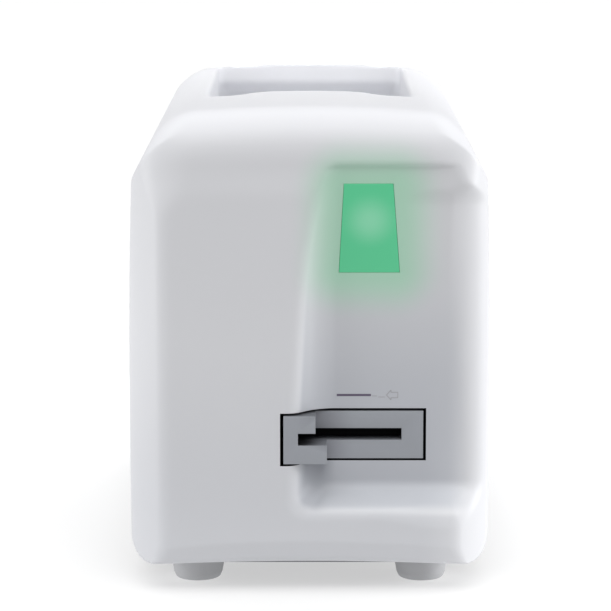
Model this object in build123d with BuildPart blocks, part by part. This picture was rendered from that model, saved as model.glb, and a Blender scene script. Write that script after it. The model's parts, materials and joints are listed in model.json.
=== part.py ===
"""Phosphor plate scanner, desktop type. Units mm.

Frame: origin at the bottom centre of the bounding box, +X to the right as seen from the front,
+Y to the back, +Z up. The front face with the plate slot looks along -Y.
"""

import os
from math import cos, pi, radians, sin, sqrt

from build123d import *

os.makedirs("parts", exist_ok=True)

# ---------------------------------------------------------------- driving dimensions
FOOT_W, MID_W, TOP_W = 98.2, 98.9, 96.3  # half width at the foot, at mid height and at the shoulder
MID_Z = 120.0
F = -175.5  # front plane
B = 175.1  # rear plane of the hood
H = 264.0  # height over the crown
Z_FOOT = 14.8  # underside of the base tray = height of the feet
ZB = 15.2  # lower edge of the hood
WALL = 3.0  # wall of the hood and the tray
PROUD = 0.4  # the tray's rim stands this far outside the hood
Y_SPLIT = -136.0  # from here back the tray forms the lower sides
Z_SPLIT = 37.0  # top edge of the tray's side walls
GAP = 0.3  # shadow gap between mouldings

SHOULDER_Z = 225.0
CROWN_X, CROWN_Z = 77.9, 260.2
R_BOTTOM, R_SHOULDER, R_CROWN = 12.0, 16.0, 14.0
R_FRONT_TOP, R_REAR_TOP = 29.0, 45.0
FLAT_X = 80.1  # half width of the flat front face
SIDE_R = 48.0  # plan radius from the front face into the side
PLAN_W = 99.2  # half width of the plan, just outside the crowned sides

SLOT_X0, SLOT_X1 = -6.3, 50.1  # plate slot, 56.4 wide
SLOT_Z0, SLOT_Z1 = 82.7, 89.1  # plate slot, 6.4 high
BEZ_X0, BEZ_X1, BEZ_Z0, BEZ_Z1 = -14.1, 61.9, 72.3, 98.8
RECESS = 15.0  # depth of the recess floor at the slot

HOLLOW_HX = 58.0  # half width of the hollow in the top
HOLLOW_Y0, HOLLOW_Y1 = -80.0, 131.0

FEET = [(-62.0, -135.5), (62.0, -135.5), (-62.0, 135.5), (62.0, 135.5)]

PATH_X = 21.9  # centre of the plate path
ROD_R, ROD_Z = 3.0, 70.0
ROD_X = (-14.0, 58.0)
SCREW_R, SCREW_Z = 4.0, 62.0
RUN = 0.05  # radial clearance of running fits
TRAVEL = 110.0  # travel of the carriage


# ---------------------------------------------------------------- small helpers
def block(x0, x1, y0, y1, z0, z1, mode=Mode.ADD):
    with Locations(((x0 + x1) / 2, (y0 + y1) / 2, (z0 + z1) / 2)):
        Box(abs(x1 - x0), abs(y1 - y0), abs(z1 - z0), mode=mode)


def rod_x(x0, x1, y, z, r, mode=Mode.ADD):
    with Locations(Location(((x0 + x1) / 2, y, z), (0, 90, 0))):
        Cylinder(r, abs(x1 - x0), mode=mode)


def rod_y(x, y0, y1, z, r, mode=Mode.ADD):
    with Locations(Location((x, (y0 + y1) / 2, z), (90, 0, 0))):
        Cylinder(r, abs(y1 - y0), mode=mode)


def rod_z(x, y, z0, z1, r, mode=Mode.ADD):
    with Locations((x, y, (z0 + z1) / 2)):
        Cylinder(r, abs(z1 - z0), mode=mode)


def slab_x(points, x0, x1, mode=Mode.ADD, grow=0.0):
    """A (Y, Z) polygon swept along X from x0 to x1."""
    with BuildSketch(Plane.YZ.offset(x0)) as outline:
        with BuildLine():
            Polyline(*points, close=True)
        make_face()
        if grow:
            offset(amount=grow, kind=Kind.INTERSECTION)
    extrude(outline.sketch, amount=x1 - x0, mode=mode)


def write(builder, label):
    builder.part.label = label
    export_step(builder.part, f"parts/{label}.step")


# ---------------------------------------------------------------- body form
def body_form(d):
    """The smooth outer form of the casing, moved outward by d on every side."""
    with BuildPart() as form:
        with BuildSketch(Plane.XZ) as section:
            with BuildLine():
                Line((-CROWN_X, CROWN_Z), (-TOP_W, SHOULDER_Z))
                ThreePointArc((-TOP_W, SHOULDER_Z), (-MID_W, MID_Z), (-FOOT_W, ZB))
                Line((-FOOT_W, ZB), (FOOT_W, ZB))
                ThreePointArc((FOOT_W, ZB), (MID_W, MID_Z), (TOP_W, SHOULDER_Z))
                Line((TOP_W, SHOULDER_Z), (CROWN_X, CROWN_Z))
                ThreePointArc((CROWN_X, CROWN_Z), (0, H), (-CROWN_X, CROWN_Z))
            make_face()
            low = section.vertices().filter_by(lambda v: abs(v.Y - ZB) < 0.1)
            fillet(low, R_BOTTOM)
            shoulder = section.vertices().filter_by(lambda v: abs(v.Y - SHOULDER_Z) < 0.1)
            fillet(shoulder, R_SHOULDER)
            crown = section.vertices().filter_by(lambda v: abs(v.Y - CROWN_Z) < 0.1)
            fillet(crown, R_CROWN)
            if d:
                offset(amount=d)
        extrude(amount=300, both=True)
        with BuildSketch(Plane.XY) as plan:
            cx, cy = PLAN_W - SIDE_R, F + 38.0
            mid = radians(-25.0)
            with BuildLine():
                Line((-FLAT_X, F), (FLAT_X, F))
                ThreePointArc((FLAT_X, F), (cx + SIDE_R * cos(mid), cy + SIDE_R * sin(mid)), (PLAN_W, cy))
                Polyline((PLAN_W, cy), (PLAN_W, B), (-PLAN_W, B), (-PLAN_W, cy))
                ThreePointArc((-PLAN_W, cy), (-cx - SIDE_R * cos(mid), cy + SIDE_R * sin(mid)), (-FLAT_X, F))
            make_face()
            fillet(plan.vertices().filter_by(lambda v: abs(v.Y - B) < 0.1), 14.0)
            fillet(plan.vertices().filter_by(lambda v: abs(v.Y - F) < 0.1), 4.0)
            if d:
                offset(amount=d)
        extrude(amount=600, both=True, mode=Mode.INTERSECT)
        with BuildSketch(Plane.YZ) as side:
            with BuildLine():
                Polyline((F, H), (F, 29.0), (F + 3.5, 19.0), (F + 10.0, ZB), (B, ZB), (B, H), close=True)
            make_face()
            fillet(side.vertices().filter_by(lambda v: v.Y > H - 0.1 and v.X < 0), R_FRONT_TOP)
            fillet(side.vertices().filter_by(lambda v: v.Y > H - 0.1 and v.X > 0), R_REAR_TOP)
            fillet(side.vertices().filter_by(lambda v: v.Y < ZB + 0.1 and v.X > 0), 8.0)
            if d:
                offset(amount=d)
        extrude(amount=600, both=True, mode=Mode.INTERSECT)
    return form.part


# Recess in the front: the floor line (Y, Z), from the roll at the top down to the ledge
RECESS_LINE = [
    (F + 2.6, 234.5),
    (F + 4.0, 230.0),
    (F + 11.6, 172.0),
    (F + 14.0, 136.0),
    (F + RECESS, 112.0),
    (F + RECESS, 58.5),
    (F, 46.4),
]
# left edge of the recess on the front plane (X, Z); the wall goes in at 45 degrees
RECESS_LEFT = [(7.8, 240.0), (-1.8, 185.0), (-5.2, 130.0), (-8.2, 70.0), (-8.2, 30.0)]


def recess_form(grow):
    with BuildPart() as wedge:
        for y, shift in ((F - 12.0, -12.0), (F + 24.0, 24.0)):
            with BuildSketch(Plane.XZ.offset(-y)):
                with BuildLine():
                    Polyline(
                        *[(x + shift - grow * sqrt(2), z) for x, z in RECESS_LEFT],
                        (140.0, 30.0),
                        (140.0, 240.0),
                        close=True,
                    )
                make_face()
        loft(ruled=True)
    with BuildPart() as cut:
        slab_x([(F - 8.0, 236.5)] + RECESS_LINE + [(F - 8.0, 40.0)], -40.0, 130.0, grow=grow)
        add(wedge.part, mode=Mode.INTERSECT)
    return cut.part


HOLLOW_LINE = [
    (HOLLOW_Y0 - 8.0, 272.0),
    (HOLLOW_Y0, 264.5),
    (-68.0, 259.5),
    (-40.0, 255.0),
    (96.0, 232.0),
    (112.0, 229.0),
    (142.0, 229.0),
    (142.0, 244.0),
    (HOLLOW_Y1, 252.0),
    (HOLLOW_Y1, 272.0),
]


# outline of the hollow (X, Y): the near lip stands back in the middle and comes forward at the corners
HOLLOW_PLAN = [
    (-HOLLOW_HX, -75.0),
    (-48.0, -75.0),
    (-33.0, -51.0),
    (33.0, -51.0),
    (48.0, -75.0),
    (HOLLOW_HX, -75.0),
    (HOLLOW_HX, 144.0),
    (-HOLLOW_HX, 144.0),
]


def hollow_form(grow):
    """The hollow in the top: a ramp down to a finger pocket under the rear bar."""
    with BuildPart() as cut:
        slab_x(HOLLOW_LINE, -HOLLOW_HX - grow, HOLLOW_HX + grow, grow=grow)
        with BuildSketch(Plane.XY.offset(200.0)) as outline:
            with BuildLine():
                Polyline(*HOLLOW_PLAN, close=True)
            make_face()
            fillet(outline.vertices().filter_by(lambda v: v.Y > 100.0), 14.0)
            fillet(outline.vertices().filter_by(lambda v: abs(v.Y + 51.0) < 0.1), 22.0)
            fillet(outline.vertices().filter_by(lambda v: abs(v.Y + 75.0) < 0.1 and abs(v.X) < 50.0), 9.0)
            fillet(outline.vertices().filter_by(lambda v: abs(v.Y + 75.0) < 0.1 and abs(v.X) > 57.0), 4.0)
            if grow:
                offset(amount=grow)
        extrude(amount=90, mode=Mode.INTERSECT)
    return cut.part


outer = body_form(0)
cavity = body_form(-WALL)
recess = recess_form(0)
recess_in = recess_form(WALL)
hollow = hollow_form(0)
hollow_in = hollow_form(WALL)


# ---------------------------------------------------------------- status window, on the sloping recess floor
def on_slope(near, far, zlow, zhigh):
    """(Y, Z) outline of a slab parallel to the recess floor between Z 172 and 230,
    from near to far behind its surface."""
    (ya, za), (yb, zb) = (F + 4.0, 230.0), (F + 11.6, 172.0)
    length = sqrt((yb - ya) ** 2 + (zb - za) ** 2)
    ny, nz = (za - zb) / length, (yb - ya) / length  # normal into the casing

    def at(z, depth):
        t = (za - z) / (za - zb)
        return (ya + (yb - ya) * t + ny * depth, z + nz * depth)

    return [at(zhigh, near), at(zlow, near), at(zlow, far), at(zhigh, far)]


def trapezoid(grow, mode):
    with BuildSketch(Plane.XZ.offset(150.0)) as outline:
        with BuildLine():
            Polyline((18.4, 224.2), (44.7, 224.2), (48.5, 175.6), (15.9, 175.6), close=True)
        make_face()
        if grow:
            offset(amount=grow)
    extrude(outline.sketch, amount=30, mode=mode)


with BuildPart() as status_window:
    slab_x(on_slope(0.0, 3.0, 170.0, 232.0), 10.0, 55.0)
    trapezoid(0, Mode.INTERSECT)
write(status_window, "status_window")

with BuildPart() as light_guide:
    slab_x(on_slope(3.05, 4.6, 172.5, 227.0), 13.0, 51.5)
    slab_x(on_slope(4.6, 9.6, 178.0, 222.0), 17.5, 46.5)
write(light_guide, "light_guide")

with BuildPart() as status_light_board:
    slab_x(on_slope(9.7, 11.3, 176.0, 224.0), 15.5, 48.5)
    for z in (186.0, 200.0, 214.0):
        slab_x(on_slope(11.3, 13.0, z - 2.5, z + 2.5), 29.5, 34.5)
write(status_light_board, "status_light_board")

# ---------------------------------------------------------------- hood
POCKET_X, POCKET_Z0, POCKET_Z1 = 84.0, 42.0, 207.0  # seat of the rear panel
PANEL_Y0, PANEL_Y1 = 168.5, 171.5
LUG_Y = (-90.0, 90.0)
CHASSIS_Y = (-95.0, 60.0)
with BuildPart() as inside:
    add(cavity)
    add(recess_in, mode=Mode.SUBTRACT)
    add(hollow_in, mode=Mode.SUBTRACT)
    # the lip that the rear panel screws to
    block(-POCKET_X - 5, POCKET_X + 5, PANEL_Y0 - 3.0, 180.0, 37.0, 212.0, mode=Mode.SUBTRACT)
    # lugs that the base screws go into
    for y in LUG_Y:
        for s in (-1, 1):
            block(s * 80.0, s * 99.0, y - 6.0, y + 6.0, 40.3, 54.0, mode=Mode.SUBTRACT)

with BuildPart() as hood:
    add(outer)
    add(recess, mode=Mode.SUBTRACT)
    add(hollow, mode=Mode.SUBTRACT)
    add(inside.part, mode=Mode.SUBTRACT)
    # open underneath at the front, and cut off above the tray further back
    block(-74.0, 74.0, F + 12.0, Y_SPLIT + 2.0, 0.0, ZB + WALL + 1.0, mode=Mode.SUBTRACT)
    block(-120.0, 120.0, Y_SPLIT, 200.0, 0.0, Z_SPLIT + GAP, mode=Mode.SUBTRACT)
    # rear opening with its seat
    block(-POCKET_X, POCKET_X, PANEL_Y0, 190.0, POCKET_Z0, POCKET_Z1, mode=Mode.SUBTRACT)
    block(-77.0, 77.0, 160.0, 190.0, 49.0, 200.0, mode=Mode.SUBTRACT)
    # opening for the slot bezel, with the dark gap round it
    block(BEZ_X0 - 1.8, BEZ_X1 + 1.6, F - 5.0, F + 22.0, BEZ_Z0 - 1.1, BEZ_Z1 + 1.4, mode=Mode.SUBTRACT)
    trapezoid(0.2, Mode.SUBTRACT)
    for y in LUG_Y:
        for s in (-1, 1):
            rod_z(s * 86.0, y, 38.0, 50.0, 1.95, mode=Mode.SUBTRACT)
    for s in (-1, 1):
        for z in (45.5, 203.5):
            rod_y(s * 80.5, 164.0, 170.0, z, 1.25, mode=Mode.SUBTRACT)
write(hood, "hood")

# ---------------------------------------------------------------- base tray
tray_out = body_form(PROUD)
with BuildPart() as columns:
    for y in LUG_Y:
        for s in (-1, 1):
            rod_z(s * 85.5, y, 10.0, 40.0, 6.0)
    add(body_form(PROUD - 1.0), mode=Mode.INTERSECT)  # ends inside the wall

with BuildPart() as base_tray:
    add(tray_out)
    add(body_form(PROUD - WALL), mode=Mode.SUBTRACT)
    block(-130.0, 130.0, -220.0, Y_SPLIT + GAP, 0.0, 300.0, mode=Mode.SUBTRACT)
    block(-130.0, 130.0, -220.0, 220.0, Z_SPLIT, 300.0, mode=Mode.SUBTRACT)
    # tongue that closes the front of the underside
    block(-73.7, 73.7, F + 12.3, Y_SPLIT + 6.0, Z_FOOT, Z_FOOT + WALL)
    for x, y in FEET:
        rod_z(x, y, Z_FOOT + 1.0, 22.0, 6.0)
    for y in CHASSIS_Y:
        for s in (-1, 1):
            rod_z(s * 70.0, y, Z_FOOT + 1.0, 22.0, 4.5)
    add(columns.part)
    for x, y in FEET:
        rod_z(x, y, 0.0, 21.0, 2.0, mode=Mode.SUBTRACT)
    for y in CHASSIS_Y:
        for s in (-1, 1):
            rod_z(s * 70.0, y, 16.5, 30.0, 1.5, mode=Mode.SUBTRACT)
    for y in LUG_Y:
        for s in (-1, 1):
            rod_z(s * 86.0, y, 0.0, 50.0, 2.1, mode=Mode.SUBTRACT)
            rod_z(s * 86.0, y, 0.0, 22.5, 4.1, mode=Mode.SUBTRACT)
write(base_tray, "base_tray")

# ---------------------------------------------------------------- feet and the screws of the base
with BuildPart() as rubber_feet:
    for x, y in FEET:
        with BuildSketch(Plane.XZ.offset(-y)) as foot:
            with BuildLine():
                Polyline((x + 5.0, 0.0), (x + 12.2, 0.0), (x + 13.5, 3.0), (x + 15.6, Z_FOOT), (x + 2.2, Z_FOOT), (x + 2.2, 7.5), (x + 5.0, 7.5), close=True)
            make_face()
            fillet(foot.vertices().filter_by(lambda v: v.Y < 0.5 and v.X > x + 8.0), 1.8)
        revolve(axis=Axis((x, y, 0), (0, 0, 1)))
write(rubber_feet, "rubber_feet")

with BuildPart() as foot_screws:
    for x, y in FEET:
        rod_z(x, y, 5.2, 7.5, 4.0)
        rod_z(x, y, 7.5, 20.5, 1.9)
        rod_z(x, y, 5.2, 6.5, 1.5, mode=Mode.SUBTRACT)
write(foot_screws, "foot_screws")

with BuildPart() as hood_screws:
    for y in LUG_Y:
        for s in (-1, 1):
            rod_z(s * 86.0, y, 19.5, 22.5, 3.8)
            rod_z(s * 86.0, y, 22.5, 49.0, 1.85)
            rod_z(s * 86.0, y, 19.5, 21.0, 1.5, mode=Mode.SUBTRACT)
write(hood_screws, "hood_screws")

# ---------------------------------------------------------------- slot bezel
Y_BACK = F + 25.0  # rear face of the bezel
PIV_Y, PIV_Z = Y_BACK + 4.5, 94.0  # pivot of the shutter
with BuildPart() as slot_bezel:
    block(BEZ_X0, BEZ_X1, F + RECESS, Y_BACK, BEZ_Z0, BEZ_Z1)
    block(BEZ_X0, SLOT_X0, F, F + RECESS, BEZ_Z0, BEZ_Z1)
    block(SLOT_X0, 3.2, F, F + RECESS, SLOT_Z1, BEZ_Z1)
    block(SLOT_X0, 9.4, F, F + RECESS, BEZ_Z0, SLOT_Z0)
    # flange behind the hood's wall
    block(BEZ_X0 - 4.5, BEZ_X1 + 4.5, F + 18.6, F + 21.6, BEZ_Z0 - 4.5, BEZ_Z1 + 4.5)
    # ears for the shutter's pin
    for x0, x1 in ((-15.0, -9.5), (53.5, 59.0)):
        block(x0, x1, Y_BACK, Y_BACK + 8.0, 89.5, 98.5)
    block(SLOT_X0, SLOT_X1, F - 1.0, Y_BACK + 1.0, SLOT_Z0, SLOT_Z1, mode=Mode.SUBTRACT)
    rod_x(-16.0, 60.0, PIV_Y, PIV_Z, 1.5, mode=Mode.SUBTRACT)
write(slot_bezel, "slot_bezel")

with BuildPart() as shutter_pin:
    rod_x(-15.0, 59.0, PIV_Y, PIV_Z, 1.5)
write(shutter_pin, "shutter_pin")

with BuildPart() as slot_shutter:
    slab_x([(Y_BACK + 0.3, 80.6), (Y_BACK + 1.8, 80.6), (Y_BACK + 1.8, 90.0), (PIV_Y, 91.0), (PIV_Y, PIV_Z), (Y_BACK + 0.3, PIV_Z)], -8.4, 52.4)
    rod_x(-8.4, 44.0, PIV_Y, PIV_Z, 3.0)
    # room for the return spring on the pin
    block(44.0, 53.0, Y_BACK + 0.2, PIV_Y + 4.0, 88.5, 98.0, mode=Mode.SUBTRACT)
    rod_x(-10.0, 54.0, PIV_Y, PIV_Z, 1.5 + RUN, mode=Mode.SUBTRACT)
write(slot_shutter, "slot_shutter")

with BuildPart() as shutter_spring:
    # close-wound torsion spring, drawn as one coiled sleeve
    rod_x(45.0, 52.6, PIV_Y, PIV_Z, 2.7)
    for k in range(7):
        with Locations(Location((45.5 + 1.1 * k, PIV_Y, PIV_Z), (0, 90, 0))):
            Torus(2.75, 0.42)
    rod_x(44.5, 53.0, PIV_Y, PIV_Z, 1.56, mode=Mode.SUBTRACT)
write(shutter_spring, "shutter_spring")

# ---------------------------------------------------------------- chassis
with BuildPart() as chassis_plate:
    block(-78.0, 78.0, -148.0, 160.0, 22.0, 24.0)
    for x, y in FEET:
        rod_z(x, y, 21.0, 25.0, 3.0, mode=Mode.SUBTRACT)
    for y in CHASSIS_Y:
        for s in (-1, 1):
            rod_z(s * 70.0, y, 21.0, 25.0, 1.6, mode=Mode.SUBTRACT)
    for y in (-60.0, 0.0):
        block(-10.0, 40.0, y, y + 30.0, 21.0, 25.0, mode=Mode.SUBTRACT)
write(chassis_plate, "chassis_plate")

with BuildPart() as chassis_screws:
    for y in CHASSIS_Y:
        for s in (-1, 1):
            rod_z(s * 70.0, y, 24.0, 26.2, 2.8)
            rod_z(s * 70.0, y, 17.0, 24.0, 1.4)
            rod_z(s * 70.0, y, 25.0, 26.2, 1.0, mode=Mode.SUBTRACT)
write(chassis_screws, "chassis_screws")

# ---------------------------------------------------------------- plate transport
Y_BLOCK_F = (-141.0, -133.0)
Y_BLOCK_R = (45.0, 53.0)
for label, (y0, y1) in (("front_bearing_block", Y_BLOCK_F), ("rear_bearing_block", Y_BLOCK_R)):
    with BuildPart() as bearing_block:
        block(-24.0, 68.0, y0, y1, 24.0, 77.5)
        block(-24.0, 68.0, y0 - 6.0, y1, 24.0, 27.0)
        for x in ROD_X:
            rod_y(x, y0 - 1, y1 + 1, ROD_Z, ROD_R, mode=Mode.SUBTRACT)
        rod_y(PATH_X, y0 - 1, y1 + 1, SCREW_Z, SCREW_R + RUN, mode=Mode.SUBTRACT)
        block(-4.0, 12.0, y0 - 1, y1 + 1, 32.0, 52.0, mode=Mode.SUBTRACT)
        block(32.0, 48.0, y0 - 1, y1 + 1, 32.0, 52.0, mode=Mode.SUBTRACT)
    write(bearing_block, label)

with BuildPart() as guide_rods:
    for x in ROD_X:
        rod_y(x, Y_BLOCK_F[0], Y_BLOCK_R[1], ROD_Z, ROD_R)
write(guide_rods, "guide_rods")

with BuildPart() as lead_screw:
    rod_y(PATH_X, Y_BLOCK_F[0] + 1.0, 66.0, SCREW_Z, SCREW_R)
    # collar that keeps the screw from running out of the rear block
    rod_y(PATH_X, Y_BLOCK_R[1] + 0.3, Y_BLOCK_R[1] + 3.0, SCREW_Z, 6.5)
write(lead_screw, "lead_screw")

with BuildPart() as shaft_coupler:
    rod_y(PATH_X, 57.0, 76.0, SCREW_Z, 9.5)
    rod_y(PATH_X, 56.0, 66.0, SCREW_Z, SCREW_R, mode=Mode.SUBTRACT)
    rod_y(PATH_X, 66.0, 77.0, SCREW_Z, 2.5, mode=Mode.SUBTRACT)
    for y in (64.0, 66.5, 69.0):
        block(PATH_X - 8.0, PATH_X + 12.0, y, y + 0.8, SCREW_Z + 3.0, SCREW_Z + 12.0, mode=Mode.SUBTRACT)
write(shaft_coupler, "shaft_coupler")

with BuildPart() as motor_shaft:
    rod_y(PATH_X, 66.5, 88.0, SCREW_Z, 2.5)
write(motor_shaft, "motor_shaft")

with BuildPart() as motor_bracket:
    block(-4.0, 48.0, 77.0, 80.0, 24.0, 86.0)
    block(-4.0, 48.0, 62.0, 80.0, 24.0, 27.0)
    rod_y(PATH_X, 76.0, 81.0, SCREW_Z, 11.2, mode=Mode.SUBTRACT)
write(motor_bracket, "motor_bracket")

with BuildPart() as stepper_motor:
    with BuildSketch(Plane.XZ.offset(-80.0)) as motor_face:
        with Locations((PATH_X, SCREW_Z)):
            Rectangle(42.0, 42.0)
        chamfer(motor_face.vertices(), 4.0)
    extrude(amount=-34.0)
    rod_y(PATH_X, 78.0, 80.0, SCREW_Z, 11.0)
    rod_y(PATH_X, 77.0, 90.0, SCREW_Z, 2.5 + RUN, mode=Mode.SUBTRACT)
write(stepper_motor, "stepper_motor")

CAR_Y0, CAR_Y1 = -130.0, -72.0
with BuildPart() as plate_carriage:
    block(-21.0, 65.0, CAR_Y0, CAR_Y1, 79.0, 83.0)
    for x in ROD_X:
        block(x - 7.0, x + 7.0, CAR_Y0 + 2.0, CAR_Y1 - 2.0, 62.5, 79.0)
    block(PATH_X - 10.0, PATH_X + 10.0, -112.0, -92.0, 51.5, 79.0)
    block(-6.5, 50.3, CAR_Y0 - 1.0, CAR_Y1 - 8.0, 82.0, 84.0, mode=Mode.SUBTRACT)
    for x in ROD_X:
        rod_y(x, CAR_Y0, CAR_Y1, ROD_Z, 5.0, mode=Mode.SUBTRACT)
    rod_y(PATH_X, -113.0, -91.0, SCREW_Z, 7.0, mode=Mode.SUBTRACT)
write(plate_carriage, "plate_carriage")

with BuildPart() as carriage_bushes:
    for x in ROD_X:
        for y0, y1 in ((CAR_Y0 + 2.0, CAR_Y0 + 14.0), (CAR_Y1 - 14.0, CAR_Y1 - 2.0)):
            rod_y(x, y0, y1, ROD_Z, 5.0)
            rod_y(x, y0 - 1, y1 + 1, ROD_Z, ROD_R + RUN, mode=Mode.SUBTRACT)
write(carriage_bushes, "carriage_bushes")

with BuildPart() as lead_nut:
    rod_y(PATH_X, -112.0, -92.0, SCREW_Z, 7.0)
    rod_y(PATH_X, -92.0, -88.5, SCREW_Z, 9.5)
    rod_y(PATH_X, -113.0, -88.0, SCREW_Z, SCREW_R + RUN, mode=Mode.SUBTRACT)
write(lead_nut, "lead_nut")

# ---------------------------------------------------------------- scanning optics
POSTS = [(-30.0, -112.0), (78.0, -112.0), (-30.0, 56.0), (78.0, 56.0)]
with BuildPart() as bench_posts:
    for x, y in POSTS:
        rod_z(x, y, 24.0, 130.0, 5.0)
write(bench_posts, "bench_posts")

POLY_Y = 34.0
with BuildPart() as optical_bench:
    block(-36.0, 84.0, -118.0, 62.0, 130.0, 134.0)
    block(-8.0, 52.0, -26.0, -14.0, 129.0, 135.0, mode=Mode.SUBTRACT)
    for x, y in POSTS:
        rod_z(x, y, 129.0, 135.0, 2.0, mode=Mode.SUBTRACT)
write(optical_bench, "optical_bench")

with BuildPart() as polygon_motor:
    rod_z(PATH_X, POLY_Y, 134.0, 143.5, 19.0)
    rod_z(PATH_X, POLY_Y, 143.5, 145.0, 6.0)
    rod_z(PATH_X, POLY_Y, 136.0, 146.0, 2.5 + RUN, mode=Mode.SUBTRACT)
write(polygon_motor, "polygon_motor")

with BuildPart() as polygon_mirror:
    with BuildSketch(Plane.XY.offset(145.4)):
        with Locations((PATH_X, POLY_Y)):
            RegularPolygon(17.0, 8)
    extrude(amount=8.0)
    rod_z(PATH_X, POLY_Y, 136.5, 145.4, 2.5)
    rod_z(PATH_X, POLY_Y, 153.4, 155.0, 7.0)
write(polygon_mirror, "polygon_mirror")

with BuildPart() as laser_mount:
    block(-33.0, -13.0, POLY_Y - 17.0, POLY_Y - 1.0, 134.0, 149.4)
    rod_x(-34.0, -12.0, POLY_Y - 9.0, 149.4, 6.0, mode=Mode.SUBTRACT)
write(laser_mount, "laser_mount")

with BuildPart() as laser_module:
    rod_x(-35.0, -10.0, POLY_Y - 9.0, 149.4, 6.0)
    rod_x(-10.0, -7.0, POLY_Y - 9.0, 149.4, 4.0)
    rod_x(-8.0, -6.0, POLY_Y - 9.0, 149.4, 2.0, mode=Mode.SUBTRACT)
write(laser_module, "laser_module")

with BuildPart() as scan_lens:
    with BuildSketch(Plane.XY.offset(134.0)):
        with BuildLine():
            ThreePointArc((0.0, 2.0), (PATH_X, -6.0), (43.8, 2.0))
            Line((43.8, 2.0), (43.8, 6.0))
            ThreePointArc((43.8, 6.0), (PATH_X, 3.5), (0.0, 6.0))
            Line((0.0, 6.0), (0.0, 2.0))
        make_face()
    extrude(amount=22.0)
write(scan_lens, "scan_lens")

with BuildPart() as fold_mirror:
    slab_x([(-28.0, 156.6), (-13.4, 142.0), (-15.2, 140.2), (-29.8, 154.8)], -7.0, 51.0)
write(fold_mirror, "fold_mirror")

with BuildPart() as mirror_bracket:
    for x0, x1 in ((-14.0, -7.0), (51.0, 58.0)):
        slab_x([(-34.0, 134.0), (-10.0, 134.0), (-10.0, 139.0), (-30.0, 159.0), (-34.0, 159.0)], x0, x1)
    block(-14.0, 58.0, -38.0, -34.0, 134.0, 159.0)
write(mirror_bracket, "mirror_bracket")

with BuildPart() as light_collector:
    slab_x([(-27.5, 90.0), (-24.5, 90.0), (-30.0, 130.0), (-45.0, 130.0), (-45.0, 108.0)], -8.0, 52.0)
write(light_collector, "light_collector")

with BuildPart() as pmt_housing:
    block(-12.0, 56.0, -74.0, -45.0, 99.0, 130.0)
    rod_x(-10.0, 54.0, -60.0, 114.0, 12.2, mode=Mode.SUBTRACT)
    block(-4.0, 48.0, -50.0, -44.0, 108.0, 120.0, mode=Mode.SUBTRACT)
write(pmt_housing, "photomultiplier_housing")

with BuildPart() as pmt_tube:
    rod_x(-8.0, 52.0, -60.0, 114.0, 12.0)
    rod_x(-10.0, -8.0, -60.0, 114.0, 6.0)
    rod_x(52.0, 54.0, -60.0, 114.0, 6.0)
write(pmt_tube, "photomultiplier_tube")

with BuildPart() as erase_lamp:
    slab_x([(4.0, 130.0), (4.0, 98.0), (7.0, 93.0), (17.0, 93.0), (20.0, 98.0), (20.0, 130.0)], -10.0, 54.0)
    block(-6.0, 50.0, 8.0, 16.0, 90.0, 101.0, mode=Mode.SUBTRACT)
write(erase_lamp, "erase_lamp_housing")

with BuildPart() as erase_lens:
    block(-6.0, 50.0, 8.0, 16.0, 93.5, 96.0)
write(erase_lens, "erase_lamp_lens")

# ---------------------------------------------------------------- electronics
with BuildPart() as board_standoffs:
    for x in (-72.0, -44.0):
        for y in (-120.0, -34.0, 50.0):
            rod_z(x, y, 24.0, 32.0, 3.0)
    for x in (-18.0, 30.0):
        for y in (126.0, 150.0):
            rod_z(x, y, 24.0, 61.0, 3.0)
write(board_standoffs, "board_standoffs")

with BuildPart() as main_board:
    block(-76.0, -40.0, -125.0, 55.0, 32.0, 33.6)
    block(-72.0, -58.0, -60.0, -46.0, 33.6, 36.0)
    block(-66.0, -54.0, -10.0, 2.0, 33.6, 35.6)
    block(-54.0, -44.0, -100.0, -70.0, 33.6, 43.0)
    block(-74.0, -62.0, 15.0, 45.0, 33.6, 48.0)
    for x in (-56.0, -46.0):
        rod_z(x, 30.0, 33.6, 46.0, 4.0)
write(main_board, "main_board")

with BuildPart() as power_supply:
    block(-78.0, -36.0, 68.0, 156.0, 24.0, 66.0)
    for k in range(9):
        block(-79.0, -77.0, 76.0 + 8.0 * k, 79.0 + 8.0 * k, 32.0, 58.0, mode=Mode.SUBTRACT)
write(power_supply, "power_supply")

with BuildPart() as port_board:
    block(-22.0, 34.0, 120.0, 164.0, 61.0, 62.6)
    block(-10.0, 20.0, 128.0, 140.0, 62.6, 65.6)
write(port_board, "port_board")

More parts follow.
